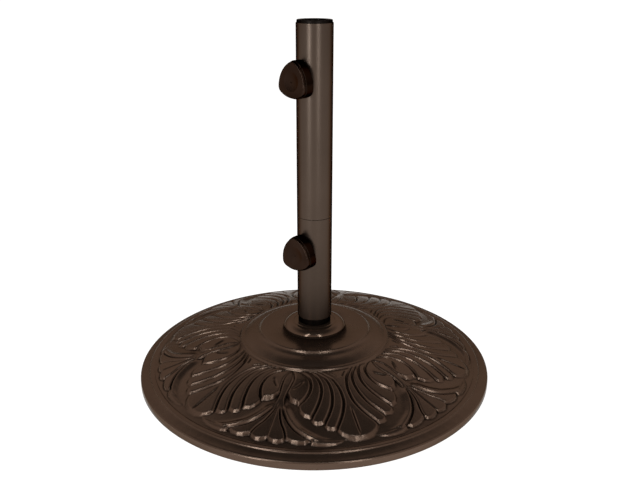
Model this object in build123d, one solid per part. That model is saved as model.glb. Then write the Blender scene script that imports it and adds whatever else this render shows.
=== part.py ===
from build123d import *
import math
import os

# Cast-iron parasol base with a two-part steel stem. Millimetres, +Z up.
# The origin is on the stem's axis, on the surface that the base stands on.

# ---- driving dimensions ----
BASE_D = 609.6              # 24 in casting
GLIDE_PROUD = 1.5           # how far the floor glides hold the casting off the ground
POLE_D = 38.1         # 1 1/2 in pole, held by the top bushing
TUBE_D = 58.8
TUBE_WALL = 1.5
FIT = 0.08                  # radial clearance of a part that slides in the stem
POLE_PLAY = 0.45            # radial clearance of the pole in the bushing

R = BASE_D / 2
TUBE_R = TUBE_D / 2
TUBE_BORE = TUBE_R - TUBE_WALL
POLE_BORE = POLE_D / 2 + POLE_PLAY

# heights of the outer surface of the casting
Z_RIM = GLIDE_PROUD         # underside of the rim
Z_RIM_CORNER = Z_RIM + 13.8
Z_BEAD = Z_RIM + 18.8       # foot of the raised line around the rim
Z_BAND = Z_RIM + 21.8       # smooth band between the raised line and the ornament
Z_HUB_EDGE = Z_RIM + 61.3
Z_STEP_FOOT = Z_RIM + 71.6
Z_HUB_TOP = Z_RIM + 77.4

# radii of the same surface
R_BEAD = 0.933 * R
R_BAND = 0.885 * R
R_HUB_EDGE = 0.427 * R
R_STEP = 0.314 * R
CASTING_WALL = 11.0
RELIEF_MEAN = 3.0           # mean height of the cast leaves over their ground

# underside of the casting
RIM_WALL = 13.0
RIB_COUNT = 6
RIB_WIDTH = 9.0
RIB_DROP = 12.0             # the ribs hang this far below the casting's skin
BOSS_R = 34.0               # thick centre that the bolt pulls on
BOSS_HEIGHT = 15.0
GLIDE_R = 10.0
GLIDE_PCR = 276.0           # radius of the circle of floor glides
GLIDE_SEAT = 2.0            # depth of the seat that a glide sits in
GLIDE_BOSS_R = 14.0

# stem
COLLAR_R = 53.5
COLLAR_H = 12.8
COLLAR_BELLY = 4.6          # height of the collar's widest point
COLLAR_LIP_R = 33.0
SEAT_RING_H = 10.8
Z_COLLAR_TOP = Z_HUB_TOP + COLLAR_H
Z_STEM_FOOT = Z_COLLAR_TOP + SEAT_RING_H
Z_SEAM = 284.0
Z_STEM_TOP = 594.5
SLEEVE_BELOW = 45.0
SLEEVE_ABOVE = 50.0
SLEEVE_WALL = 1.9           # leaves a bore of 51.8 mm for a 2 in pole
FOOT_PLUG_H = 12.0
BUSHING_LIP_H = 4.3
BUSHING_LENGTH = 60.0
BUSHING_SKIRT = 2.1         # wall of its two skirts
BUSHING_ROOF = 3.0

# base bolt, M12
BOLT_R = 6.0
BOLT_HOLE_R = 6.75
BOLT_HEAD_AF = 19.0
BOLT_HEAD_H = 7.5
WASHER_R = 18.0
WASHER_T = 3.0
LOCK_WASHER_R = 10.5
LOCK_WASHER_T = 3.0

# clamping knobs, M10
KNOBS = {"lower": (226.0, -129.0), "upper": (509.5, -134.0)}   # height, azimuth in degrees
KNOB_TURN = {"lower": 6.0, "upper": -4.0}                      # how far the lobes are turned
STUD_R = 4.95
STUD_BORE = 5.0
STUD_PIN_R = 2.0
STUD_HEAD_AF = 15.8
STUD_HEAD_H = 2.9
TIP_R = 4.5
TIP_REACH = 20.2            # distance from the stem's axis to the tip of the stud
TIP_LENGTH = 5.0
NUT_R = 8.5
NUT_REACH = 37.5
KNOB_BACK = 32.0            # distances from the stem's axis, along the knob's own axis
KNOB_SPLIT = 47.2
KNOB_FACE = 52.2
KNOB_RECESS_R = 13.0
KNOB_RECESS_DEPTH = 9.0
HEAD_POCKET = 3.0           # depth of the pocket that holds the stud's head

ON_BASE = (Align.CENTER, Align.CENTER, Align.MIN)


def ring(outer, inner, z0, z1):
    """A plain round ring between two heights."""
    body = Pos(0, 0, z0) * Cylinder(outer, z1 - z0, align=ON_BASE)
    if inner:
        body -= Pos(0, 0, z0 - 1) * Cylinder(inner, z1 - z0 + 2, align=ON_BASE)
    return body


def outer_rim(body, end):
    """The largest circular edge at the bottom (0) or the top (-1) of a body."""
    rims = body.edges().filter_by(GeomType.CIRCLE).group_by(Axis.Z)[end]
    return rims.sort_by(SortBy.RADIUS)[-1:]


def hexagon(across_flats, z0, z1):
    return Pos(0, 0, z0) * extrude(RegularPolygon(across_flats / 2, 6, major_radius=False), z1 - z0)


def through(a, b, rise):
    """Arc from a to b whose middle stands off the chord's middle by rise, upward."""
    return ThreePointArc(a, ((a[0] + b[0]) / 2, (a[1] + b[1]) / 2 + rise), b)


def turned(*edges):
    """A solid of revolution about Z, from the edges of half its section as (radius, height)."""
    section = Rot(90, 0, 0) * make_face(Curve() + list(edges))
    return revolve(section, Axis.Z, 360)


def around(count, radius, solid, first=0.0):
    """Copies of a solid, evenly spaced on a circle about Z."""
    return [Rot(0, 0, first + 360.0 * i / count) * Pos(radius, 0, 0) * solid for i in range(count)]


# ---- casting ----
def outer_edges():
    """Half section of the casting's upper surface, from the rim's foot to the axis."""
    wall_top = (R, Z_RIM_CORNER - 4.0)
    corner = (R - 3.6, Z_RIM_CORNER)
    bead_out = (R_BEAD + 1.8, Z_BEAD)
    bead_in = (R_BEAD - 1.8, Z_BEAD + 0.5)
    relief_out = (R_BAND - 4, Z_BAND + RELIEF_MEAN)
    relief_in = (R_HUB_EDGE + 2.2, Z_HUB_EDGE)
    slope_foot = (R_HUB_EDGE - 2.2, Z_HUB_EDGE + 1.0)
    step_foot = (R_STEP + 5.0, Z_STEP_FOOT)
    step_head = (R_STEP + 0.9, Z_HUB_TOP - 2.0)
    hub_top = (R_STEP - 2.2, Z_HUB_TOP)
    return [
        Line((R, Z_RIM), wall_top),
        TangentArc(wall_top, corner, tangent=(0, 1)),
        through(corner, bead_out, -0.7),
        ThreePointArc(bead_out, (R_BEAD, Z_BEAD + 1.9), bead_in),
        Line(bead_in, (R_BAND, Z_BAND)),
        Line((R_BAND, Z_BAND), relief_out),
        through(relief_out, relief_in, 4.5),
        ThreePointArc(relief_in, (R_HUB_EDGE, Z_HUB_EDGE + 2.2), slope_foot),
        through(slope_foot, step_foot, 2.2),
        Line(step_foot, step_head),
        ThreePointArc(step_head, (R_STEP - 0.25, Z_HUB_TOP - 0.6), hub_top),
        Line(hub_top, (0, Z_HUB_TOP)),
        Line((0, Z_HUB_TOP), (0, Z_RIM)),
        Line((0, Z_RIM), (R, Z_RIM)),
    ]


def cavity_edges():
    """Half section of the hollow under the casting's skin."""
    inner_rim = R - RIM_WALL
    boss_foot = Z_HUB_TOP - BOSS_HEIGHT
    ceiling = [
        (inner_rim, Z_RIM - 1),
        (inner_rim - 2, Z_BEAD + 1.5 - CASTING_WALL),
        (R_BAND, Z_BAND + 2.0 - CASTING_WALL),
        (R_HUB_EDGE + 6, Z_HUB_EDGE + 1.0 - CASTING_WALL),
        (R_STEP, Z_STEP_FOOT - CASTING_WALL),
        (R_STEP - 12, Z_HUB_TOP - CASTING_WALL),
        (BOSS_R + 4, Z_HUB_TOP - CASTING_WALL),
        (BOSS_R, boss_foot),
        (0, boss_foot),
        (0, Z_RIM - 1),
    ]
    return [Line(a, b) for a, b in zip(ceiling, ceiling[1:] + ceiling[:1])]


def rib_body():
    """The metal of the radial ribs and the ring rib, as tall as the whole casting."""
    length = R - RIM_WALL - BOSS_R + 4
    bar = Box(length, RIB_WIDTH, Z_HUB_TOP, align=(Align.MIN, Align.CENTER, Align.MIN))
    bars = around(RIB_COUNT, BOSS_R - 2, bar, first=30.0)
    return Part() + bars + ring(R_HUB_EDGE + RIB_WIDTH / 2, R_HUB_EDGE - RIB_WIDTH / 2, 0, Z_HUB_TOP)


def base_casting():
    skin = turned(*outer_edges())
    cavity = turned(*cavity_edges())
    ribs_stop_here = Pos(0, 0, -CASTING_WALL - RIB_DROP) * skin
    ribs = rib_body() - ribs_stop_here
    glide_boss = Cylinder(GLIDE_BOSS_R, Z_BAND, align=ON_BASE)
    bosses = Part() + around(RIB_COUNT, GLIDE_PCR, Pos(0, 0, Z_RIM) * glide_boss)
    seat = Cylinder(GLIDE_R + 0.1, GLIDE_SEAT, align=ON_BASE)
    seats = Part() + around(RIB_COUNT, GLIDE_PCR, Pos(0, 0, Z_RIM) * seat)
    pilot = Cylinder(2.0, 9.0, align=ON_BASE)
    pilots = Part() + around(RIB_COUNT, GLIDE_PCR, Pos(0, 0, Z_RIM) * pilot)
    hollow = cavity - ribs - bosses
    bolt_hole = Cylinder(BOLT_HOLE_R, Z_HUB_TOP + 2, align=ON_BASE)
    return skin - hollow - seats - pilots - bolt_hole


def floor_glides():
    """Nylon buttons that keep the iron off the paving."""
    z1 = Z_RIM + GLIDE_SEAT
    button = ring(GLIDE_R, 2.2, 0, z1)
    button = chamfer(outer_rim(button, 0), 0.8)
    countersink = Pos(0, 0, -0.01) * Cone(4.6, 2.2, 2.4, align=ON_BASE)
    return around(RIB_COUNT, GLIDE_PCR, button - countersink)


def glide_screws():
    """Countersunk screws through the glides, with the head just inside the button."""
    head = Pos(0, 0, 0.4) * Cone(4.0, 1.8, 1.9, align=ON_BASE)
    shank = Pos(0, 0, 2.0) * Cylinder(1.9, 7.5, align=ON_BASE)
    slot = Pos(0, 0, 0.4) * Box(7.0, 0.9, 1.4)
    return around(RIB_COUNT, GLIDE_PCR, head + shank - slot)


# ---- stem foot ----
def hub_collar():
    """Polished bun-shaped ring that the stem stands on."""
    z0 = Z_HUB_TOP
    z1 = Z_COLLAR_TOP
    foot = (COLLAR_R - 0.9, z0)
    belly = (COLLAR_R, z0 + COLLAR_BELLY)
    shoulder = (COLLAR_R - 4.8, z0 + 9.7)
    lip_foot = (COLLAR_LIP_R + 3.0, z0 + 11.9)
    lip_top = (COLLAR_LIP_R, z1)
    return turned(
        Line((BOLT_HOLE_R, z0), foot),
        Line(foot, belly),
        ThreePointArc(belly, shoulder, lip_foot),
        through(lip_foot, lip_top, 0.35),
        Line(lip_top, (BOLT_HOLE_R, z1)),
        Line((BOLT_HOLE_R, z1), (BOLT_HOLE_R, z0)),
    )


def stem_seat_ring():
    """Black plastic ring between the collar and the stem."""
    body = ring(TUBE_R - 1.2, BOLT_HOLE_R, Z_COLLAR_TOP, Z_STEM_FOOT)
    return chamfer(outer_rim(body, 0), 1.0)


def stem_foot_plug():
    """Threaded steel plug welded into the foot of the lower stem."""
    plug = ring(TUBE_BORE - 0.02, BOLT_R, Z_STEM_FOOT, Z_STEM_FOOT + FOOT_PLUG_H)
    return chamfer(outer_rim(plug, -1), 1.5)


def bolt_stack():
    """Heights of the underside of the boss, the washers and the bolt head."""
    boss = Z_HUB_TOP - BOSS_HEIGHT
    washer = boss - WASHER_T
    lock = washer - LOCK_WASHER_T
    return boss, washer, lock


def base_bolt():
    """Hexagon bolt, up through the boss, the collar and the ring into the stem's plug."""
    lock = bolt_stack()[2]
    shank = ring(BOLT_R - 0.05, 0, lock, Z_STEM_FOOT + FOOT_PLUG_H - 1.0)
    return hexagon(BOLT_HEAD_AF, lock - BOLT_HEAD_H, lock) + chamfer(outer_rim(shank, -1), 1.2)


def base_bolt_washer():
    boss, washer = bolt_stack()[:2]
    return ring(WASHER_R, BOLT_R + 0.5, washer, boss)


def base_bolt_lock_washer():
    washer, lock = bolt_stack()[1:]
    cut = Rot(20, 0, 0) * Box(LOCK_WASHER_R + 4, 1.2, LOCK_WASHER_T + 5)
    split = Pos(LOCK_WASHER_R / 2 + 2, 0, (washer + lock) / 2) * cut
    return ring(LOCK_WASHER_R, BOLT_R + 0.3, lock, washer) - split


# ---- stem ----
def knob_frame(name):
    """Local frame of a knob: z runs outward from the stem's axis, y runs up."""
    height, azimuth = KNOBS[name]
    a = math.radians(azimuth)
    outward = (math.cos(a), math.sin(a), 0)
    sideways = (-math.sin(a), math.cos(a), 0)
    return Location(Plane(origin=(0, 0, height), x_dir=sideways, z_dir=outward))


def stud_hole(name):
    return knob_frame(name) * Cylinder(STUD_BORE + 0.3, TUBE_R + 5, align=ON_BASE)


def stem_tube(name, z0, z1):
    tube = ring(TUBE_R, TUBE_BORE, z0, z1)
    rims = tube.edges().filter_by(GeomType.CIRCLE)
    outer = [e for e in rims if e.radius > TUBE_R - 0.1]
    return chamfer(outer, 0.5) - stud_hole(name)


def coupling_sleeve():
    """Steel sleeve fixed in the lower stem. The upper stem slides down over it."""
    outer = TUBE_BORE - FIT
    sleeve = ring(outer, outer - SLEEVE_WALL, Z_SEAM - SLEEVE_BELOW, Z_SEAM + SLEEVE_ABOVE)
    return chamfer(outer_rim(sleeve, -1), 1.0)


def top_bushing():
    """Reducer bushing: a lip, an inner and an outer skirt, and webs between them."""
    z0 = Z_STEM_TOP - BUSHING_LENGTH
    z1 = Z_STEM_TOP + BUSHING_LIP_H
    outer = TUBE_BORE - FIT
    body = ring(outer, POLE_BORE, z0, Z_STEM_TOP) + ring(TUBE_R - 1.3, POLE_BORE, Z_STEM_TOP, z1)
    rims = body.edges().filter_by(GeomType.CIRCLE).group_by(Axis.Z)[-1]
    body = chamfer(rims, 0.8)
    gap = ring(outer - BUSHING_SKIRT, POLE_BORE + BUSHING_SKIRT, z0 - 1, Z_STEM_TOP - BUSHING_ROOF)
    web = Pos(0, 0, z0 - 2) * Box(12, BUSHING_SKIRT, BUSHING_LENGTH + 2, align=ON_BASE)
    webs = Part() + around(6, (outer + POLE_BORE) / 2, web)
    return body - (gap - webs)


# ---- knobs ----
def tri_lobe(corner_at, corner_r, side_at):
    """Rounded triangle: three corner arcs joined by three flatter arcs, one corner up."""
    c, q, b = corner_r, corner_at, side_at
    e = (q * q - (b - c) ** 2) / (2 * (b - c) - q)
    big = b + e
    arcs = []
    for i in range(3):
        side = math.radians(-90 + 120 * i)
        centre = Vector(-e * math.cos(side), -e * math.sin(side))
        ends = []
        for turn in (-60, 60):
            a = side + math.radians(turn)
            corner = Vector(q * math.cos(a), q * math.sin(a))
            ends.append(centre + (corner - centre).normalized() * big)
        middle = Vector(b * math.cos(side), b * math.sin(side))
        arcs.append(ThreePointArc(ends[0], middle, ends[1]))
    for i in range(3):
        a = math.radians(-30 + 120 * i)
        tip = Vector((q + c) * math.cos(a), (q + c) * math.sin(a))
        arcs.append(ThreePointArc(arcs[i] @ 1, tip, arcs[(i + 1) % 3] @ 0))
    return make_face(Curve() + arcs)


def knob_body(name):
    """Hollow-backed lobed grip. Its recess swallows the weld nut on the stem."""
    grip = extrude(Pos(0, 0, KNOB_BACK) * tri_lobe(20.5, 11.5, 27.0), KNOB_SPLIT - KNOB_BACK)
    grip = fillet(grip.edges().group_by(Axis.Z)[0], 1.2)
    grip = fillet(grip.edges().group_by(Axis.Z)[-1], 1.2)
    recess = ring(KNOB_RECESS_R, 0, KNOB_BACK - 1, KNOB_BACK + KNOB_RECESS_DEPTH)
    bore = ring(STUD_R, 0, KNOB_BACK, KNOB_SPLIT + 1)
    pocket = hexagon(STUD_HEAD_AF + 0.2, KNOB_SPLIT - HEAD_POCKET, KNOB_SPLIT + 1)
    turn = Rot(0, 0, KNOB_TURN[name])
    return knob_frame(name) * turn * (grip - recess - bore - pocket)


def knob_cap(name):
    """Face of the knob, with a rounded edge and a shallow dished centre."""
    dish_r = 120.0
    cap = extrude(Pos(0, 0, KNOB_SPLIT) * tri_lobe(19.6, 11.0, 25.6), KNOB_FACE - KNOB_SPLIT)
    cap = fillet(cap.edges().group_by(Axis.Z)[-1], 1.9)
    cap = fillet(cap.edges().group_by(Axis.Z)[0], 0.8)
    dish = Pos(0, 0, KNOB_FACE + dish_r - 1.0) * Sphere(dish_r)
    turn = Rot(0, 0, KNOB_TURN[name])
    return knob_frame(name) * turn * (cap - dish)


def knob_stud(name):
    """Threaded stud, with its hexagon head in the knob and a pin for the tip."""
    seat = TIP_REACH + TIP_LENGTH
    head_seat = KNOB_SPLIT - HEAD_POCKET
    rod = ring(STUD_R, 0, seat + 0.3, head_seat)
    pin = ring(STUD_PIN_R, 0, seat - 2.5, seat + 0.3)
    head = hexagon(STUD_HEAD_AF, head_seat, head_seat + STUD_HEAD_H)
    turn = Rot(0, 0, KNOB_TURN[name])
    return knob_frame(name) * turn * (rod + pin + head)


def stud_tip(name):
    """Nylon tip that turns on the stud's pin and presses on the pole."""
    pin_hole = ring(STUD_PIN_R + 0.06, 0, TIP_REACH + 2.3, TIP_REACH + TIP_LENGTH + 1)
    tip = ring(TIP_R, 0, TIP_REACH, TIP_REACH + TIP_LENGTH)
    return knob_frame(name) * (chamfer(outer_rim(tip, 0), 0.7) - pin_hole)


def weld_nut(name):
    """Threaded boss welded on the outside of the stem, saddle-cut to sit on it."""
    boss = ring(NUT_R, STUD_BORE, TUBE_R - 4, NUT_REACH)
    boss = chamfer(outer_rim(boss, -1), 0.8)
    height = KNOBS[name][0]
    return knob_frame(name) * boss - ring(TUBE_R, 0, height - 20, height + 20)


# ---- one file per piece ----
nodes = {
    "base_casting": base_casting(),
    "floor_glides": floor_glides(),
    "glide_screws": glide_screws(),
    "hub_collar": hub_collar(),
    "stem_seat_ring": stem_seat_ring(),
    "stem_foot_plug": stem_foot_plug(),
    "base_bolt": base_bolt(),
    "base_bolt_washer": base_bolt_washer(),
    "base_bolt_lock_washer": base_bolt_lock_washer(),
    "lower_stem_tube": stem_tube("lower", Z_STEM_FOOT, Z_SEAM),
    "coupling_sleeve": coupling_sleeve(),
    "upper_stem_tube": stem_tube("upper", Z_SEAM, Z_STEM_TOP),
    "top_bushing": top_bushing(),
}
for side in KNOBS:
    nodes[side + "_weld_nut"] = weld_nut(side)
    nodes[side + "_knob_body"] = knob_body(side)
    nodes[side + "_knob_cap"] = knob_cap(side)
    nodes[side + "_knob_stud"] = knob_stud(side)
    nodes[side + "_stud_tip"] = stud_tip(side)

os.makedirs("parts", exist_ok=True)
for node, shape in nodes.items():
    solids = shape if isinstance(shape, list) else shape.solids()
    group = solids[0] if len(solids) == 1 else Compound(children=solids)
    export_step(group, "parts/" + node + ".step")
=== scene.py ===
import math

import bpy
import numpy as np
from mathutils import Matrix, Vector


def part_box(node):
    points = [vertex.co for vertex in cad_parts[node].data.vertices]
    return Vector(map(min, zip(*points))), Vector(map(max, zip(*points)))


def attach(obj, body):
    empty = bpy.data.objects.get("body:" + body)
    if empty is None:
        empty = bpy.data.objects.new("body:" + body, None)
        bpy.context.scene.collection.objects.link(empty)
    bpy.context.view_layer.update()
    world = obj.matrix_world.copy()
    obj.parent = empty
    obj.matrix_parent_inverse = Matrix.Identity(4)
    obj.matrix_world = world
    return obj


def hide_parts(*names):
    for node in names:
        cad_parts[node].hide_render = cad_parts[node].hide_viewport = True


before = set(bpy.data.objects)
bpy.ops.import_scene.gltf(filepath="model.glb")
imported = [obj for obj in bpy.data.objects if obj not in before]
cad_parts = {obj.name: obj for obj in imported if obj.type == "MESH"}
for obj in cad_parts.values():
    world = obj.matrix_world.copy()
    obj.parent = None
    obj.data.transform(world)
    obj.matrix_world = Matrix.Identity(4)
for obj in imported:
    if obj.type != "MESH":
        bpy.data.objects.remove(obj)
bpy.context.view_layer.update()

# Lengths are in millimetres up to the moment a mesh is made, and in metres from there on.
MM = 0.001

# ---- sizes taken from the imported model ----
CAST_LO, CAST_HI = (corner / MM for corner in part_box("base_casting"))
R = CAST_HI.x                        # radius of the casting
Z_RIM = CAST_LO.z                    # underside of its rim
Z_HUB_TOP = CAST_HI.z                # flat that the collar stands on

# ---- profile of the casting, as in the CAD model ----
BOLT_HOLE_R = 6.75
Z_CORNER = Z_RIM + 13.8
Z_BEAD = Z_RIM + 18.8
Z_BAND = Z_RIM + 21.8
Z_HUB_EDGE = Z_RIM + 61.3
Z_STEP_FOOT = Z_RIM + 71.6
R_BEAD = 0.933 * R
R_BAND = 0.885 * R
R_HUB_EDGE = 0.427 * R
R_STEP = 0.314 * R
WALL = 11.0
RIM_WALL = 13.0
BOSS_R = 34.0                        # boss round the bolt
BOSS_HEIGHT = 15.0
GLIDE_PCR = 276.0                    # radius of the circle that the glides stand on
GLIDE_BOSS_R = 14.0
GLIDE_SEAT_R = 10.1
GLIDE_SEAT = 2.0
RIB_COUNT = 6
RIB_WIDTH = 9.0
RIB_DROP = 12.0
FIRST_RIB = 30.0                     # degrees
RIB_STATIONS = 24                    # sections along a rib
RING_COLUMNS, BOSS_COLUMNS = 180, 48     # mesh columns round the ring rib and round a boss

# ---- ornament: six leaves and six fans, mirrored about their own axes ----
REPEATS = 6
HALF_PITCH = 180.0 / REPEATS         # from a leaf's axis to the next fan's axis, in degrees
FAN_AXIS = HALF_PITCH
LEAF_AXIS = -75.0
COLUMNS = 150                        # mesh columns in half a pitch
RELIEF_ROWS = 220                    # rings of vertices over the ornament
RELIEF_IN = R_HUB_EDGE + 2.2
RELIEF_OUT = 0.910 * R
GROUND_CROWN = 3.4                   # rise of the ground over a straight line
GROUND_AT_HUB = Z_HUB_EDGE - 3.0
SHELTER_PASSES = 14                  # how widely a point is compared with its surroundings
SHELTER_PER_MM = 0.25


# ---------------------------------------------------------------- small helpers
def smooth(t):
    """0 to 1 with soft ends."""
    t = np.clip(t, 0.0, 1.0)
    return t * t * (3 - 2 * t)


def dome(t):
    """Quarter-round rise from 0 at t = 0 to 1 at t = 1."""
    t = np.clip(t, 0.0, 1.0)
    return np.sqrt(1 - (1 - t) ** 2)


def spline(points, steps=8):
    """Points of a Catmull-Rom curve through the given points."""
    p = np.array(points, float)
    p = np.vstack([2 * p[0] - p[1], p, 2 * p[-1] - p[-2]])
    t = np.linspace(0, 1, steps, endpoint=False)[:, None]
    out = []
    for a, b, c, d in zip(p, p[1:], p[2:], p[3:]):
        out.append(0.5 * (2 * b + (c - a) * t + (2 * a - 5 * b + 4 * c - d) * t ** 2
                          + (3 * b - a - 3 * c + d) * t ** 3))
    return np.vstack(out + [p[-2:-1]])


def bow(a, b, lift, steps):
    """Points of a shallow arc from a to b that stands off its chord by lift, without b."""
    a, b = np.array(a, float), np.array(b, float)
    square = np.array([a[1] - b[1], b[0] - a[0]])
    square = square / np.linalg.norm(square)
    t = np.linspace(0, 1, steps, endpoint=False)[:, None]
    return a + (b - a) * t + square * lift * 4 * t * (1 - t)


def along(points, r):
    """Angle of a line of the ornament at radius r."""
    line = spline([(q * R, a) for q, a in points])
    return np.interp(r, line[:, 0], line[:, 1])


# ---------------------------------------------------------------- lines of the ornament
# Each line is a list of (radius as a share of R, degrees from the leaf's axis).
LEAF_GROOVES = [
    [(0.435, 11), (0.453, 9.1), (0.481, 6.2), (0.504, 4.4), (0.543, 2.9), (0.588, 2.0),
     (0.638, 1.9), (0.674, 2.3), (0.709, 3.2), (0.744, 4.3), (0.789, 6.0), (0.815, 7.0),
     (0.860, 8.2)],
    [(0.435, 14.6), (0.446, 13.3), (0.477, 9.8), (0.508, 7.9), (0.542, 6.8), (0.580, 6.4),
     (0.616, 6.5), (0.652, 7.0), (0.690, 7.8), (0.735, 9.3), (0.780, 11.0), (0.830, 12.4)],
    [(0.435, 18.0), (0.446, 16.6), (0.475, 14.2), (0.512, 12.3), (0.549, 11.4), (0.585, 11.4),
     (0.622, 12.0), (0.658, 12.9), (0.701, 14.2), (0.737, 15.5), (0.765, 16.2), (0.800, 17.2)],
    [(0.435, 29.0), (0.440, 25.8), (0.450, 23.1), (0.470, 20.0), (0.496, 18.0), (0.530, 17.0),
     (0.560, 16.9), (0.592, 17.4), (0.623, 18.5), (0.653, 20.0), (0.673, 21.3), (0.700, 22.6)],
]
STEM_EDGE = [(0.435, 29.8), (0.455, 28.6), (0.480, 27.6), (0.510, 27.0), (0.560, 27.5),
             (0.610, 28.1), (0.650, 28.2), (0.690, 27.6), (0.740, 26.0)]
RIBBON_GROOVE = [(0.660, 28.9), (0.690, 28.4), (0.725, 27.3), (0.760, 25.8), (0.790, 24.2),
                 (0.817, 22.5), (0.838, 20.8), (0.856, 19.0), (0.870, 17.4), (0.882, 15.8),
                 (0.900, 14.2)]
BLADE_GROOVE = [(0.660, 29.8), (0.710, 29.0), (0.740, 28.4), (0.770, 27.6), (0.797, 26.7),
                (0.820, 25.7), (0.840, 25.0), (0.860, 24.5), (0.880, 24.2), (0.910, 23.9)]
SCROLL_CREASE = [(0.512, 21.2), (0.530, 22.0), (0.550, 23.4), (0.572, 25.2), (0.590, 26.8)]
LEAF_VEIN = [(0.69, 0.0), (0.79, 0.1), (0.895, 0.0)]
LEAF_ROOT_GROOVE = [(0.448, 5.6), (0.470, 3.4), (0.495, 1.8)]
# Where the leaf and the fan end, as (degrees from the leaf's axis, radius as a share of R)
LEAF_HEM = [(0, 0.899), (2.0, 0.898), (4.0, 0.889), (5.8, 0.872), (7.0, 0.851), (7.6, 0.842),
            (8.4, 0.838), (9.4, 0.839), (10.6, 0.832), (11.4, 0.815), (11.9, 0.803),
            (12.7, 0.803), (14.0, 0.806), (15.3, 0.797), (16.2, 0.780), (16.7, 0.768),
            (17.5, 0.763), (19.0, 0.757), (20.4, 0.738), (21.4, 0.710), (22.0, 0.685),
            (22.6, 0.676), (23.6, 0.673), (25.0, 0.668), (26.2, 0.656), (27.2, 0.635),
            (30, 0.600)]
FAN_HEM = [(11, 0.880), (14.0, 0.894), (15.2, 0.894), (16.3, 0.884), (16.9, 0.886), (18.0, 0.897),
           (20.0, 0.899), (22.0, 0.893), (23.6, 0.882), (24.2, 0.882), (25.0, 0.893),
           (26.3, 0.901), (27.8, 0.900), (29.2, 0.893), (30, 0.884)]
# The ribbon's tail sweeps back past the leaf:
# (degrees, middle radius as a share of R, half width, height)
TAIL = [(5.4, 0.878, 0.6, 0.4), (6.5, 0.884, 2.0, 1.6), (8.5, 0.889, 3.6, 2.6),
        (11.5, 0.890, 4.6, 3.4), (14.0, 0.887, 5.4, 4.2), (16.0, 0.880, 5.0, 4.2)]
# Heights over the ground, as (radius as a share of R, millimetres)
LEAF_HEIGHT = [(0.435, 1.8), (0.46, 3.2), (0.50, 4.4), (0.60, 4.8), (0.70, 5.2), (0.90, 5.4)]
SCROLL_HEIGHT = [(0.435, 2.2), (0.50, 4.0), (0.60, 5.6), (0.67, 6.6)]
STEM_HEIGHT = [(0.435, 1.6), (0.48, 4.6), (0.56, 5.6), (0.62, 5.2), (0.70, 4.6)]
FAN_HEIGHT = [(0.66, 4.4), (0.72, 4.0), (0.80, 3.8), (0.86, 4.6), (0.90, 5.2)]
RIBBON_HEIGHT = [(0.66, 4.6), (0.72, 5.4), (0.84, 6.2), (0.88, 5.4)]
GROOVE_DEPTH = [(0.435, 1.4), (0.46, 2.6), (0.50, 3.6), (0.70, 4.0), (0.90, 3.6)]
LOBE_ROUNDING = [(0.52, 2.4), (0.74, 4.4)]   # how far a lobe's edge is rounded
LEAF_END, FAN_END = 8.0, 4.0         # length over which the leaf and the fan round off at the hem
SCROLL_ROUNDING = 3.5                # rounding of the scroll beside the stem
SCROLL_EDGE = 0.45                   # share of its height that the scroll keeps there
STEM_ROUNDING = 4.0
RIBBON_CREST, RIBBON_FLANK = 3.0, 8.0    # width of the ribbon's crest, and of the slope beside it
RIBBON_HOLLOW = 0.22                 # share of its height that the ribbon keeps in the hollow
BLADE_CUT, BLADE_FLOOR = 3.2, 0.4    # depth of the grooves in the fan, and the height left in them
FAN_FOOT = 0.655                     # where the stem starts to open into the fan, as a share of R
FAN_OPENING = 0.07                   # and how far outward it has done so


def scaled(points, r):
    """A height of the ornament at radius r, from (radius as a share of R, height) points."""
    return np.interp(r, [q * R for q, h in points], [h for q, h in points])


def hem(points, phi):
    """Radius at which the ornament ends, for each angle."""
    return np.interp(phi, [a for a, q in points], [q for a, q in points]) * R


def across(line, r, phi):
    """Distance from a line of the ornament, square to it. Positive towards the fan."""
    here = along(line, r)
    slant = np.radians(along(line, r + 0.5) - here) * r / 0.5
    return np.radians(phi - here) * r / np.hypot(1, slant)


def parting(distance, gap=1.3, reach=2.4):
    """Cross-section of a groove between lobes: 1 on its floor, 0 where the rounded edges end."""
    return 1 - dome((np.abs(distance) - gap) / reach)


def leaf(r, phi):
    """A leaf: a spear on its axis, three lobes and a scroll, parted by narrow grooves."""
    arch = across(LEAF_GROOVES[-1], r, phi)
    body = np.where(arch > 0, scaled(SCROLL_HEIGHT, r), scaled(LEAF_HEIGHT, r))
    reach = scaled(LOBE_ROUNDING, r)
    cut = np.max([parting(across(line, r, phi), reach=reach) for line in LEAF_GROOVES], axis=0)
    crease = groove(r, phi, SCROLL_CREASE, 3.4, 2.2, 0.4)
    beside_stem = dome(-across(STEM_EDGE, r, phi) / SCROLL_ROUNDING)
    share = np.where(arch > 0, SCROLL_EDGE + (1 - SCROLL_EDGE) * beside_stem, 1)
    height = (body - scaled(GROOVE_DEPTH, r) * cut - crease) * share
    inside = phi < along(STEM_EDGE, r)
    return np.where(inside, height * smooth((hem(LEAF_HEM, phi) - r) / LEAF_END), 0.0)


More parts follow.
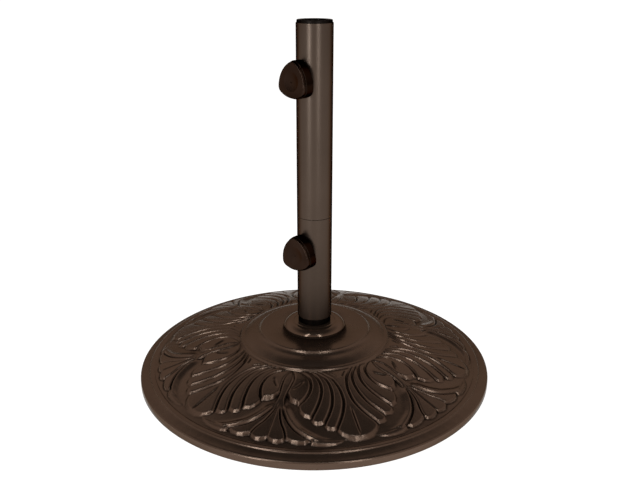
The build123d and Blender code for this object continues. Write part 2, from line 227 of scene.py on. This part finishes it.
def fan(r, phi):
    """A fan on a stem: a broad ribbon along each side, hollowed towards the leaf, and two blades
    on each side of the axis."""
    stem = scaled(STEM_HEIGHT, r) * dome(across(STEM_EDGE, r, phi) / STEM_ROUNDING)
    split = across(RIBBON_GROOVE, r, phi)
    fall = np.exp(-(np.clip(-split - RIBBON_CREST, 0, None) / RIBBON_FLANK) ** 2)
    slope = RIBBON_HOLLOW + (1 - RIBBON_HOLLOW) * fall
    body = np.where(split < 0, scaled(RIBBON_HEIGHT, r) * slope, scaled(FAN_HEIGHT, r))
    median = 0.55 * parting(np.radians(phi - FAN_AXIS) * r, 0.3, 1.8)
    between_blades = parting(across(BLADE_GROOVE, r, phi), 0.9, 2.2)
    cut = np.max([parting(split), between_blades, median], axis=0)
    blades = np.maximum(body - BLADE_CUT * cut, BLADE_FLOOR)
    blades = blades * dome((hem(FAN_HEM, phi) - r) / FAN_END)
    opened = smooth((r / R - FAN_FOOT) / FAN_OPENING)
    return np.where(r < FAN_FOOT * R, stem, stem * (1 - opened) + blades * opened)


def tail(r, phi):
    """The pointed end of the ribbon, swept back past the leaf."""
    angle, middle, width, top = np.array(TAIL).T
    off = (r - np.interp(phi, angle, middle) * R) / np.interp(phi, angle, width)
    here = (phi > angle[0]) & (phi < angle[-1])
    section = np.sqrt(1 - np.clip(np.abs(off), 0, 1) ** 2)
    return np.where(here, np.interp(phi, angle, top) * section, 0.0)


def place(r, phi):
    """Flat coordinates of points given by radius and degrees."""
    t = np.radians(phi)
    return np.stack([r * np.cos(t), r * np.sin(t)], -1)


def near_line(r, phi, points):
    """Distance from each point of the grid to a curved line, and how far along the line the
    nearest point is, 0 to 1."""
    line = spline([(q * R, a) for q, a in points], 6)
    line = place(line[:, 0], line[:, 1])
    p = place(r, phi)
    best = np.full(r.shape, 1e9)
    share = np.zeros(r.shape)
    count = len(line) - 1
    for i in range(count):
        a, d = line[i], line[i + 1] - line[i]
        t = np.clip(((p - a) @ d) / (d @ d), 0, 1)
        off = np.linalg.norm(p - a - t[..., None] * d, axis=-1)
        closer = off < best
        best = np.where(closer, off, best)
        share = np.where(closer, (i + t) / count, share)
    return best, share


def groove(r, phi, points, width, depth, fade=0.2):
    """Depth of a narrow groove along a line, fading out towards both ends."""
    off, share = near_line(r, phi, points)
    ends = smooth(share / fade) * smooth((1 - share) / fade)
    return depth * ends * smooth(1 - off / width)


def ornament(r, phi):
    """Height of the cast leaves over their ground, over half a pitch."""
    height = np.max([leaf(r, phi), fan(r, phi), tail(r, phi)], axis=0)
    cuts = groove(r, phi, LEAF_VEIN, 1.9, 2.6, 0.3) + groove(r, phi, LEAF_ROOT_GROOVE, 1.8, 2.2)
    return np.maximum(height - cuts, 0.0)


def ground(r):
    """Height of the smooth ground that the ornament stands on."""
    t = np.clip((R_BAND - r) / (R_BAND - RELIEF_IN), 0, 1)
    band = np.maximum(r - R_BAND, 0) * (Z_BAND - Z_BEAD + 0.4) / (R_BEAD - 5.0 - R_BAND)
    return Z_BAND + (GROUND_AT_HUB - Z_BAND) * t + GROUND_CROWN * 4 * t * (1 - t) - band


# ---------------------------------------------------------------- casting
def casting_rings():
    """Rings of the casting as (radius, height): the top from the bolt hole outward, the rim, and
    back underneath. The ornament's rings, between the top and the rim, are radii alone."""
    top = np.vstack([
        [(BOLT_HOLE_R, Z_HUB_TOP), (R_STEP - 8, Z_HUB_TOP)],
        bow((R_STEP - 4.6, Z_HUB_TOP), (R_STEP - 0.4, Z_HUB_TOP - 2.2), 0.85, 8),
        bow((R_STEP, Z_HUB_TOP - 2.8), (R_STEP + 7.6, Z_STEP_FOOT - 0.9), -0.8, 8),
        bow((R_STEP + 8.4, Z_STEP_FOOT - 1.1), (R_HUB_EDGE - 6.0, Z_HUB_EDGE + 2.4), 1.4, 18),
        bow((R_HUB_EDGE - 5.4, Z_HUB_EDGE + 2.5), (R_HUB_EDGE + 0.4, Z_HUB_EDGE + 0.4), 1.1, 10),
        [(R_HUB_EDGE + 0.9, Z_HUB_EDGE - 0.6), (RELIEF_IN, Z_HUB_EDGE - 1.6)],
    ])
    rows = np.linspace(RELIEF_IN + 0.4, RELIEF_OUT, RELIEF_ROWS)
    rim = np.vstack([
        [(RELIEF_OUT + 0.8, ground(RELIEF_OUT + 0.8))],
        bow((R_BEAD - 5.0, Z_BEAD - 0.4), (R_BEAD - 3.0, Z_BEAD + 0.5), 0.15, 3),
        bow((R_BEAD - 2.4, Z_BEAD + 0.6), (R_BEAD + 1.0, Z_BEAD + 0.5), 0.1, 3),
        bow((R_BEAD + 1.4, Z_BEAD + 0.5), (R_BEAD + 4.3, Z_BEAD - 1.9), 0.95, 8),
        bow((R_BEAD + 4.9, Z_BEAD - 2.0), (R - 5.0, Z_CORNER - 0.1), -0.4, 7),
        bow((R - 4.6, Z_CORNER - 0.2), (R, Z_CORNER - 5.0), 1.55, 9),
        [(R, Z_CORNER - 5.4), (R, Z_RIM + 1.0), (R - 0.8, Z_RIM)],
    ])
    under = np.vstack([
        [(R - RIM_WALL + 1.0, Z_RIM), (R - RIM_WALL, Z_RIM + 1.2)],
        [(R - RIM_WALL - 1.6, Z_BEAD - WALL - 0.6)],
        [(R - RIM_WALL - 4.5, Z_BEAD + 2.2 - WALL), (R_BAND, Z_BAND + 2.0 - WALL)],
        [((R_BAND + R_HUB_EDGE) / 2, (Z_BAND + Z_HUB_EDGE) / 2 + 4.0 - WALL)],
        [(R_HUB_EDGE + 6, Z_HUB_EDGE + 1.0 - WALL), (R_STEP, Z_STEP_FOOT - WALL)],
        [(R_STEP - 12, Z_HUB_TOP - WALL), (BOSS_R + 6, Z_HUB_TOP - WALL)],
        [(BOSS_R + 4, Z_HUB_TOP - WALL - 1.2)],
        [(BOSS_R, Z_HUB_TOP - BOSS_HEIGHT + 1), (BOSS_R - 1, Z_HUB_TOP - BOSS_HEIGHT)],
        [(BOLT_HOLE_R, Z_HUB_TOP - BOSS_HEIGHT)],
    ])
    return top, rows, rim, under


class Shell:
    """Collects the vertices and faces of one mesh, in millimetres."""

    def __init__(self):
        self.points, self.faces, self.count = [], [], 0

    def add(self, points, faces):
        self.points.append(np.asarray(points, float).reshape(-1, 3))
        self.faces += [tuple(int(i) + self.count for i in face) for face in faces]
        self.count += len(self.points[-1])

    def grid(self, rings):
        """Closed rings of equal length, joined one to the next and the last to the first."""
        rows, columns = rings.shape[:2]
        i, j = np.meshgrid(np.arange(rows), np.arange(columns), indexing="ij")
        i2, j2 = (i + 1) % rows, (j + 1) % columns
        row, next_row = i * columns, i2 * columns
        quads = np.stack([row + j, next_row + j, next_row + j2, row + j2], -1)
        self.add(rings, quads.reshape(-1, 4))

    def turned(self, profile, columns, centre=(0.0, 0.0)):
        """A closed profile of (radius, height) turned about a vertical axis."""
        t = np.radians(np.arange(columns) * 360 / columns)
        p = np.array(profile, float)
        x = centre[0] + p[:, :1] * np.cos(t)
        y = centre[1] + p[:, :1] * np.sin(t)
        self.grid(np.stack([x, y, np.broadcast_to(p[:, 1:], x.shape)], -1))

    def prism(self, sections):
        """Sections of four corners each, skinned, with both ends closed."""
        rows = len(sections)
        faces = [(0, 1, 2, 3), tuple(rows * 4 - 4 + k for k in (3, 2, 1, 0))]
        for i in range(rows - 1):
            for k in range(4):
                n = (k + 1) % 4
                faces.append((i * 4 + k, i * 4 + 4 + k, i * 4 + 4 + n, i * 4 + n))
        self.add(np.array(sections, float), faces)

    def made(self, name, material):
        mesh = bpy.data.meshes.new(name)
        mesh.from_pydata((np.vstack(self.points) * MM).tolist(), [], self.faces)
        mesh.validate()
        mesh.shade_smooth()
        mesh.materials.append(material)
        piece = bpy.data.objects.new(name, mesh)
        bpy.context.scene.collection.objects.link(piece)
        return piece


def averaged(height, sides):
    """Each point averaged with its neighbours: sides is how the grid goes on past its first and
    last column, "reflect" for mirror lines or "wrap" for a full turn."""
    wider = np.pad(height, ((0, 0), (1, 1)), mode=sides)
    height = (wider[:, :-2] + 2 * height + wider[:, 2:]) / 4
    taller = np.pad(height, ((1, 1), (0, 0)), mode="edge")
    return (taller[:-2] + 2 * height + taller[2:]) / 4


def add_ribs(shell, roof_r, roof_z):
    """The radial ribs and the ring rib, hanging from the roof of the hollow."""
    half = RIB_WIDTH / 2
    for k in range(RIB_COUNT):
        a = math.radians(FIRST_RIB + 360 * k / RIB_COUNT)
        out, side = np.array([math.cos(a), math.sin(a)]), np.array([-math.sin(a), math.cos(a)])
        sections = []
        for s in np.linspace(BOSS_R - 2, R - RIM_WALL + 1, RIB_STATIONS):
            roof = float(np.interp(s, roof_r, roof_z))
            low, high = max(roof - RIB_DROP, Z_RIM), roof + 3
            corners = ((-half + 0.4, low), (half - 0.4, low),
                       (half + 0.5, high), (-half - 0.5, high))
            sections.append([[*(out * s + side * w), z] for w, z in corners])
        shell.prism(sections)
    roof = float(np.interp(R_HUB_EDGE, roof_r, roof_z))
    shell.turned([(R_HUB_EDGE - half, roof + 4), (R_HUB_EDGE - half + 0.5, roof - RIB_DROP),
                  (R_HUB_EDGE + half - 0.5, roof - RIB_DROP), (R_HUB_EDGE + half, roof + 2)],
                 RING_COLUMNS)


def add_glide_bosses(shell):
    """The bosses inside the rim, each with a round seat for a glide."""
    seat, top = Z_RIM + GLIDE_SEAT, Z_BAND - 6
    profile = [(0.01, seat), (GLIDE_SEAT_R, seat), (GLIDE_SEAT_R, Z_RIM),
               (GLIDE_BOSS_R - 0.6, Z_RIM), (GLIDE_BOSS_R, Z_RIM + 0.6),
               (GLIDE_BOSS_R, top), (0.01, top)]
    for k in range(RIB_COUNT):
        a = math.radians(360 * k / RIB_COUNT)
        centre = (GLIDE_PCR * math.cos(a), GLIDE_PCR * math.sin(a))
        shell.turned(profile, BOSS_COLUMNS, centre)


def casting(material):
    """The cast-iron base: turned profile, leaves on top, ribs and bosses underneath."""
    top, rows, rim, under = casting_rings()
    angle = np.linspace(0, HALF_PITCH, COLUMNS + 1)
    radius, phi = np.meshgrid(rows, angle, indexing="ij")
    height = averaged(ornament(radius, phi), "reflect")
    pitch = np.hstack([height[:, :-1], height[:, :0:-1]])
    height = np.tile(pitch, (1, REPEATS))
    columns = height.shape[1]
    t = np.radians(LEAF_AXIS + np.arange(columns) * 360 / columns)
    rings = []
    for r, z in np.vstack([top, np.stack([rows, ground(rows)], -1), rim, under]):
        rings.append(np.stack([r * np.cos(t), r * np.sin(t), np.full(columns, z)], -1))
    rings = np.array(rings)
    rings[len(top):len(top) + len(rows), :, 2] += height
    shell = Shell()
    shell.grid(rings)
    add_ribs(shell, under[::-1, 0], under[::-1, 1])
    add_glide_bosses(shell)
    piece = shell.made("cast_base", material)
    attach_relief(piece, len(top) * columns, height)
    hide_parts("base_casting")
    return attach(piece, "base")


def attach_relief(piece, first, height):
    """Stores how sheltered each point of the ornament is, the mask of the painted shade in its
    grooves:
    0.5 in the open, less in a groove and more on an edge. first is the index of the ornament's
    first vertex."""
    around_it = height
    for _ in range(SHELTER_PASSES):
        around_it = averaged(around_it, "wrap")
    values = np.full(len(piece.data.vertices), 0.5, np.float32)
    # Values below 0.5 set how strongly painted shade darkens the grooves.
    sheltered = np.clip(0.5 + SHELTER_PER_MM * (height - around_it), 0, 1)
    values[first:first + height.size] = sheltered.ravel()
    attribute = piece.data.attributes.new("painted_shade", "FLOAT", "POINT")
    attribute.data.foreach_set("value", values)


# ---------------------------------------------------------------- materials
class Paint:
    """A procedural material: a Principled shader with noise for its colour, roughness and bump."""

    def __init__(self, name, **sockets):
        self.material = bpy.data.materials.new(name)
        self.material.use_nodes = True
        self.tree = self.material.node_tree
        self.shader = self.tree.nodes["Principled BSDF"]
        for socket, value in sockets.items():
            self.shader.inputs[socket.replace("_", " ")].default_value = value
        self.place = self.tree.nodes.new("ShaderNodeTexCoord").outputs["Object"]

    def node(self, kind, **values):
        made = self.tree.nodes.new("ShaderNode" + kind)
        for key, value in values.items():
            if key in made.inputs:
                made.inputs[key].default_value = value
            else:
                setattr(made, key, value)
        return made

    def link(self, source, target):
        self.tree.links.new(source, target)

    def noise(self, scale, detail=3.0, stretch=None):
        """Noise over the object's own coordinates. stretch scales them first."""
        made = self.node("TexNoise", Scale=scale, Detail=detail)
        source = self.place
        if stretch:
            mapping = self.node("Mapping")
            mapping.inputs["Scale"].default_value = stretch
            self.link(source, mapping.inputs["Vector"])
            source = mapping.outputs["Vector"]
        self.link(source, made.inputs["Vector"])
        return made.outputs["Fac"]

    def spread(self, source, low, high, at=(0.3, 0.7)):
        """Maps a 0 to 1 value onto low to high."""
        made = self.node("MapRange")
        for key, value in zip(("From Min", "From Max", "To Min", "To Max"), (*at, low, high)):
            made.inputs[key].default_value = value
        self.link(source, made.inputs["Value"])
        return made.outputs["Result"]

    def colours(self, source, dark, light, at=(0.3, 0.7)):
        """A two-colour ramp."""
        made = self.node("ValToRGB")
        for stop, place, colour in zip(made.color_ramp.elements, at, (dark, light)):
            stop.position = place
            stop.color = (*colour, 1.0)
        self.link(source, made.inputs["Fac"])
        return made.outputs["Color"]

    def multiply(self, a, b):
        """The product of two colours. The Mix node's colour sockets can only be told by number."""
        made = self.node("Mix", data_type="RGBA", blend_type="MULTIPLY")
        factor, first, second = (made.inputs[k] for k in (0, 6, 7))
        factor.default_value = 1.0
        self.link(a, first)
        self.link(b, second)
        return made.outputs[2]

    def bump(self, layers):
        """Bump from several height sources, each with its height in metres."""
        normal = None
        for source, distance in layers:
            made = self.node("Bump", Strength=1.0, Distance=distance)
            self.link(source, made.inputs["Height"])
            if normal:
                self.link(normal, made.inputs["Normal"])
            normal = made.outputs["Normal"]
        self.link(normal, self.shader.inputs["Normal"])

    def finish(self, colour, roughness):
        self.link(colour, self.shader.inputs["Base Color"])
        self.link(roughness, self.shader.inputs["Roughness"])
        return self.material


def coat(name, **sockets):
    """Bronze powder coat: metal flakes in a brown binder."""
    return Paint(name, IOR=1.45, Metallic=0.85, Specular_Tint=(0.44, 0.41, 0.38, 1.0), **sockets)


def cast_iron_paint():
    """The coat over cast iron: satin, slightly pebbled, with painted shade nearly black in its
    grooves.
    """
    m = coat("bronze_coat_on_iron")
    painted_shade = m.node("Attribute", attribute_name="painted_shade").outputs["Fac"]
    broad = m.colours(m.noise(9, 4), (0.088, 0.056, 0.040), (0.110, 0.071, 0.051))
    # Painted shade: the colour darkens nearly to black in the grooves, standing in for the shade
    # there.
    painted_groove_shade = m.colours(painted_shade, (0.05, 0.04, 0.035), (1.0, 1.0, 1.0), at=(0.18, 0.47))
    m.bump([(m.noise(60, 3), 0.0004), (m.noise(900, 2), 0.00005)])
    return m.finish(m.multiply(broad, painted_groove_shade), m.spread(m.noise(35, 4), 0.21, 0.29))


def collar_paint():
    """The same coat on the smooth turned collar."""
    m = coat("bronze_coat_on_collar")
    colour = m.colours(m.noise(14, 3), (0.095, 0.060, 0.042), (0.112, 0.071, 0.050))
    m.bump([(m.noise(700, 2), 0.00002)])
    return m.finish(colour, m.spread(m.noise(40, 3), 0.13, 0.18))


def tube_paint():
    """The same coat on drawn steel tube: faint lines along the tube and a fine orange peel."""
    m = Paint("bronze_coat_on_tube", IOR=1.45, Metallic=1.0, Specular_Tint=(0.05, 0.02, 0.01, 1.0))
    colour = m.colours(m.noise(7, 4), (0.064, 0.045, 0.034), (0.077, 0.054, 0.041))
    m.bump([(m.noise(1100, 2), 0.00003), (m.noise(60, 2, (6, 6, 0.3)), 0.00003)])
    return m.finish(colour, m.spread(m.noise(30, 3), 0.30, 0.35))


def knob_plastic(name, dark, pale):
    """Near-black moulded plastic with a fine spark-eroded texture and a warm sheen."""
    m = Paint(name, Metallic=1.0, IOR=1.46, Specular_Tint=(0.22, 0.11, 0.07, 1.0))
    colour = m.colours(m.noise(30, 3), dark, pale)
    m.bump([(m.noise(1500, 2), 0.00006)])
    return m.finish(colour, m.spread(m.noise(120, 3), 0.16, 0.24))


def nylon():
    """Black nylon with faint flow marks."""
    m = Paint("black_nylon", Metallic=1.0, IOR=1.46, Specular_Tint=(0.12, 0.09, 0.07, 1.0))
    colour = m.colours(m.noise(20, 3), (0.0065, 0.0050, 0.0042), (0.0105, 0.0080, 0.0068))
    m.bump([(m.noise(500, 3, (1, 1, 3)), 0.00003)])
    return m.finish(colour, m.spread(m.noise(50, 3), 0.28, 0.4))


def zinc_steel():
    """Zinc-plated steel with a mottled passivation."""
    m = Paint("zinc_steel", Metallic=1.0)
    colour = m.colours(m.noise(120, 4), (0.42, 0.40, 0.36), (0.62, 0.61, 0.58))
    m.bump([(m.noise(900, 2), 0.00002)])
    return m.finish(colour, m.spread(m.noise(200, 3), 0.25, 0.42))


def sleeve_steel():
    """The bare sleeve inside the seam: zinc with drawing lines."""
    m = Paint("drawn_steel", Metallic=1.0)
    colour = m.colours(m.noise(80, 4, (1, 1, 0.05)), (0.30, 0.29, 0.27), (0.50, 0.49, 0.47))
    m.bump([(m.noise(300, 3, (4, 4, 0.05)), 0.00004)])
    return m.finish(colour, m.spread(m.noise(90, 3), 0.3, 0.45))


def floor_paint():
    """Pale seamless paper, lit from behind so that it stays even out to the horizon."""
    m = Paint("pale_floor", Emission_Color=(1.0, 1.0, 1.0, 1.0), Emission_Strength=0.93,
              Specular_IOR_Level=0.1)
    colour = m.colours(m.noise(0.6, 2), (0.35, 0.35, 0.35), (0.37, 0.37, 0.37))
    return m.finish(colour, m.spread(m.noise(1.0, 2), 0.7, 0.8))


# ---------------------------------------------------------------- scene
def paint_node(name, material):
    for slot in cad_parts[name].material_slots:
        slot.material = material


def look_along(obj, direction, roll=0.0):
    """Turns a camera or light to look along a direction. roll is clockwise, in degrees."""
    turn = Vector(direction).to_track_quat("-Z", "Y").to_matrix().to_4x4()
    turn = turn @ Matrix.Rotation(-math.radians(roll), 4, "Z")
    obj.matrix_world = Matrix.Translation(obj.location) @ turn


# Brightness of the studio's walls by elevation in degrees, and their tint
WALL_LIGHT = [(0, 0.26), (20, 0.64), (36, 0.68), (55, 0.24), (62, 0.03)]
WALL_TINT = (1.0, 0.88, 0.80)

# The tall softboxes as (name, azimuth in degrees from the front, width, power). Metres and watts.
STRIP_LIGHTS = [("left_light", -33, 0.34, 62), ("right_light", 23, 0.26, 39)]
STRIP_DISTANCE = 2.4
STRIP_FOOT, STRIP_TOP = 0.1, 5.2
STRIP_COLOUR = (0.82, 0.93, 1.0)
FLOOR_REACH = 40.0

# The camera, fitted to the outline of the base. Angles are in degrees.
CAMERA_DISTANCE = 4.5                # from the disc's centre, in radii of the disc
CAMERA_HEIGHT = 29.49                # seen from there
CAMERA_PITCH, CAMERA_YAW, CAMERA_ROLL = 20.12, 0.444, -0.188
SENSOR_WIDTH, FOCAL_LENGTH = 36.0, 42.225    # millimetres


def surroundings():
    """Pale walls that give way to a dark ceiling, as in a studio lit from the sides."""
    world = bpy.data.worlds.new("studio")
    bpy.context.scene.world = world
    world.use_nodes = True
    tree = world.node_tree
    direction = tree.nodes.new("ShaderNodeTexCoord").outputs["Generated"]
    split = tree.nodes.new("ShaderNodeSeparateXYZ")
    ramp = tree.nodes.new("ShaderNodeValToRGB")
    for elevation, level in WALL_LIGHT[1:-1]:
        ramp.color_ramp.elements.new(math.sin(math.radians(elevation)))
    for stop, (elevation, level) in zip(ramp.color_ramp.elements, WALL_LIGHT):
        stop.position = math.sin(math.radians(elevation))
        stop.color = (*(level * share for share in WALL_TINT), 1.0)
    tree.links.new(direction, split.inputs["Vector"])
    tree.links.new(split.outputs["Z"], ramp.inputs["Fac"])
    tree.links.new(ramp.outputs["Color"], tree.nodes["Background"].inputs["Color"])


def strip_light(name, azimuth, width, power):
    """A tall softbox that faces the stem. azimuth is positive to the right."""
    light = bpy.data.lights.new(name, "AREA")
    light.shape = "RECTANGLE"
    light.size, light.size_y = width, STRIP_TOP - STRIP_FOOT
    light.energy = power
    light.color = STRIP_COLOUR
    obj = bpy.data.objects.new(name, light)
    bpy.context.scene.collection.objects.link(obj)
    a = math.radians(azimuth)
    middle = (STRIP_FOOT + STRIP_TOP) / 2
    obj.location = (STRIP_DISTANCE * math.sin(a), -STRIP_DISTANCE * math.cos(a), middle)
    look_along(obj, Vector((0.0, 0.0, middle)) - obj.location)


def studio():
    """Tall softboxes in front, to the left and to the right, and a pale floor."""
    surroundings()
    for strip in STRIP_LIGHTS:
        strip_light(*strip)
    far = FLOOR_REACH
    corners = [(-far, -far, 0), (far, -far, 0), (far, far, 0), (-far, far, 0)]
    mesh = bpy.data.meshes.new("floor")
    mesh.from_pydata(corners, [], [(0, 1, 2, 3)])
    mesh.materials.append(floor_paint())
    floor = bpy.data.objects.new("floor", mesh)
    bpy.context.scene.collection.objects.link(floor)
    bpy.context.scene.view_settings.view_transform = "Standard"


def camera():
    """Looks down on the base from the front."""
    distance = CAMERA_DISTANCE * R * MM
    height, pitch, yaw = (math.radians(a) for a in (CAMERA_HEIGHT, CAMERA_PITCH, CAMERA_YAW))
    data = bpy.data.cameras.new("camera")
    data.sensor_width = SENSOR_WIDTH
    data.lens = FOCAL_LENGTH
    obj = bpy.data.objects.new("camera", data)
    bpy.context.scene.collection.objects.link(obj)
    obj.location = (0, -distance * math.cos(height),
                    distance * math.sin(height) + Z_RIM * MM)
    forward = (math.sin(yaw) * math.cos(pitch), math.cos(yaw) * math.cos(pitch), -math.sin(pitch))
    look_along(obj, forward, CAMERA_ROLL)
    bpy.context.scene.camera = obj


iron, turned_coat, tube_coat = cast_iron_paint(), collar_paint(), tube_paint()
# Painted shade: the knob bodies get a darker copy of the caps' plastic, for the shade they sit in.
shaded_knob_plastic = knob_plastic("knob_plastic_painted_shade",
                            (0.0090, 0.0050, 0.0034), (0.0150, 0.0082, 0.0056))
cap_plastic = knob_plastic("knob_cap_plastic",
                           (0.0180, 0.0104, 0.0074), (0.0300, 0.0176, 0.0126))
black, zinc, drawn = nylon(), zinc_steel(), sleeve_steel()
casting(iron)
FINISHES = {
    "hub_collar": turned_coat,
    "lower_stem_tube": tube_coat,
    "upper_stem_tube": tube_coat,
    "stem_seat_ring": black,
    "top_bushing": black,
    "floor_glides": black,
    "lower_stud_tip": black,
    "upper_stud_tip": black,
    "lower_knob_body": shaded_knob_plastic,
    "upper_knob_body": shaded_knob_plastic,
    "lower_knob_cap": cap_plastic,
    "upper_knob_cap": cap_plastic,
    "coupling_sleeve": drawn,
    "lower_weld_nut": tube_coat,
    "upper_weld_nut": tube_coat,
    "stem_foot_plug": zinc,
    "base_bolt": zinc,
    "base_bolt_washer": zinc,
    "base_bolt_lock_washer": zinc,
    "glide_screws": zinc,
    "lower_knob_stud": zinc,
    "upper_knob_stud": zinc,
}
for node_name, finish in FINISHES.items():
    paint_node(node_name, finish)
studio()
camera()

bpy.context.view_layer.update()
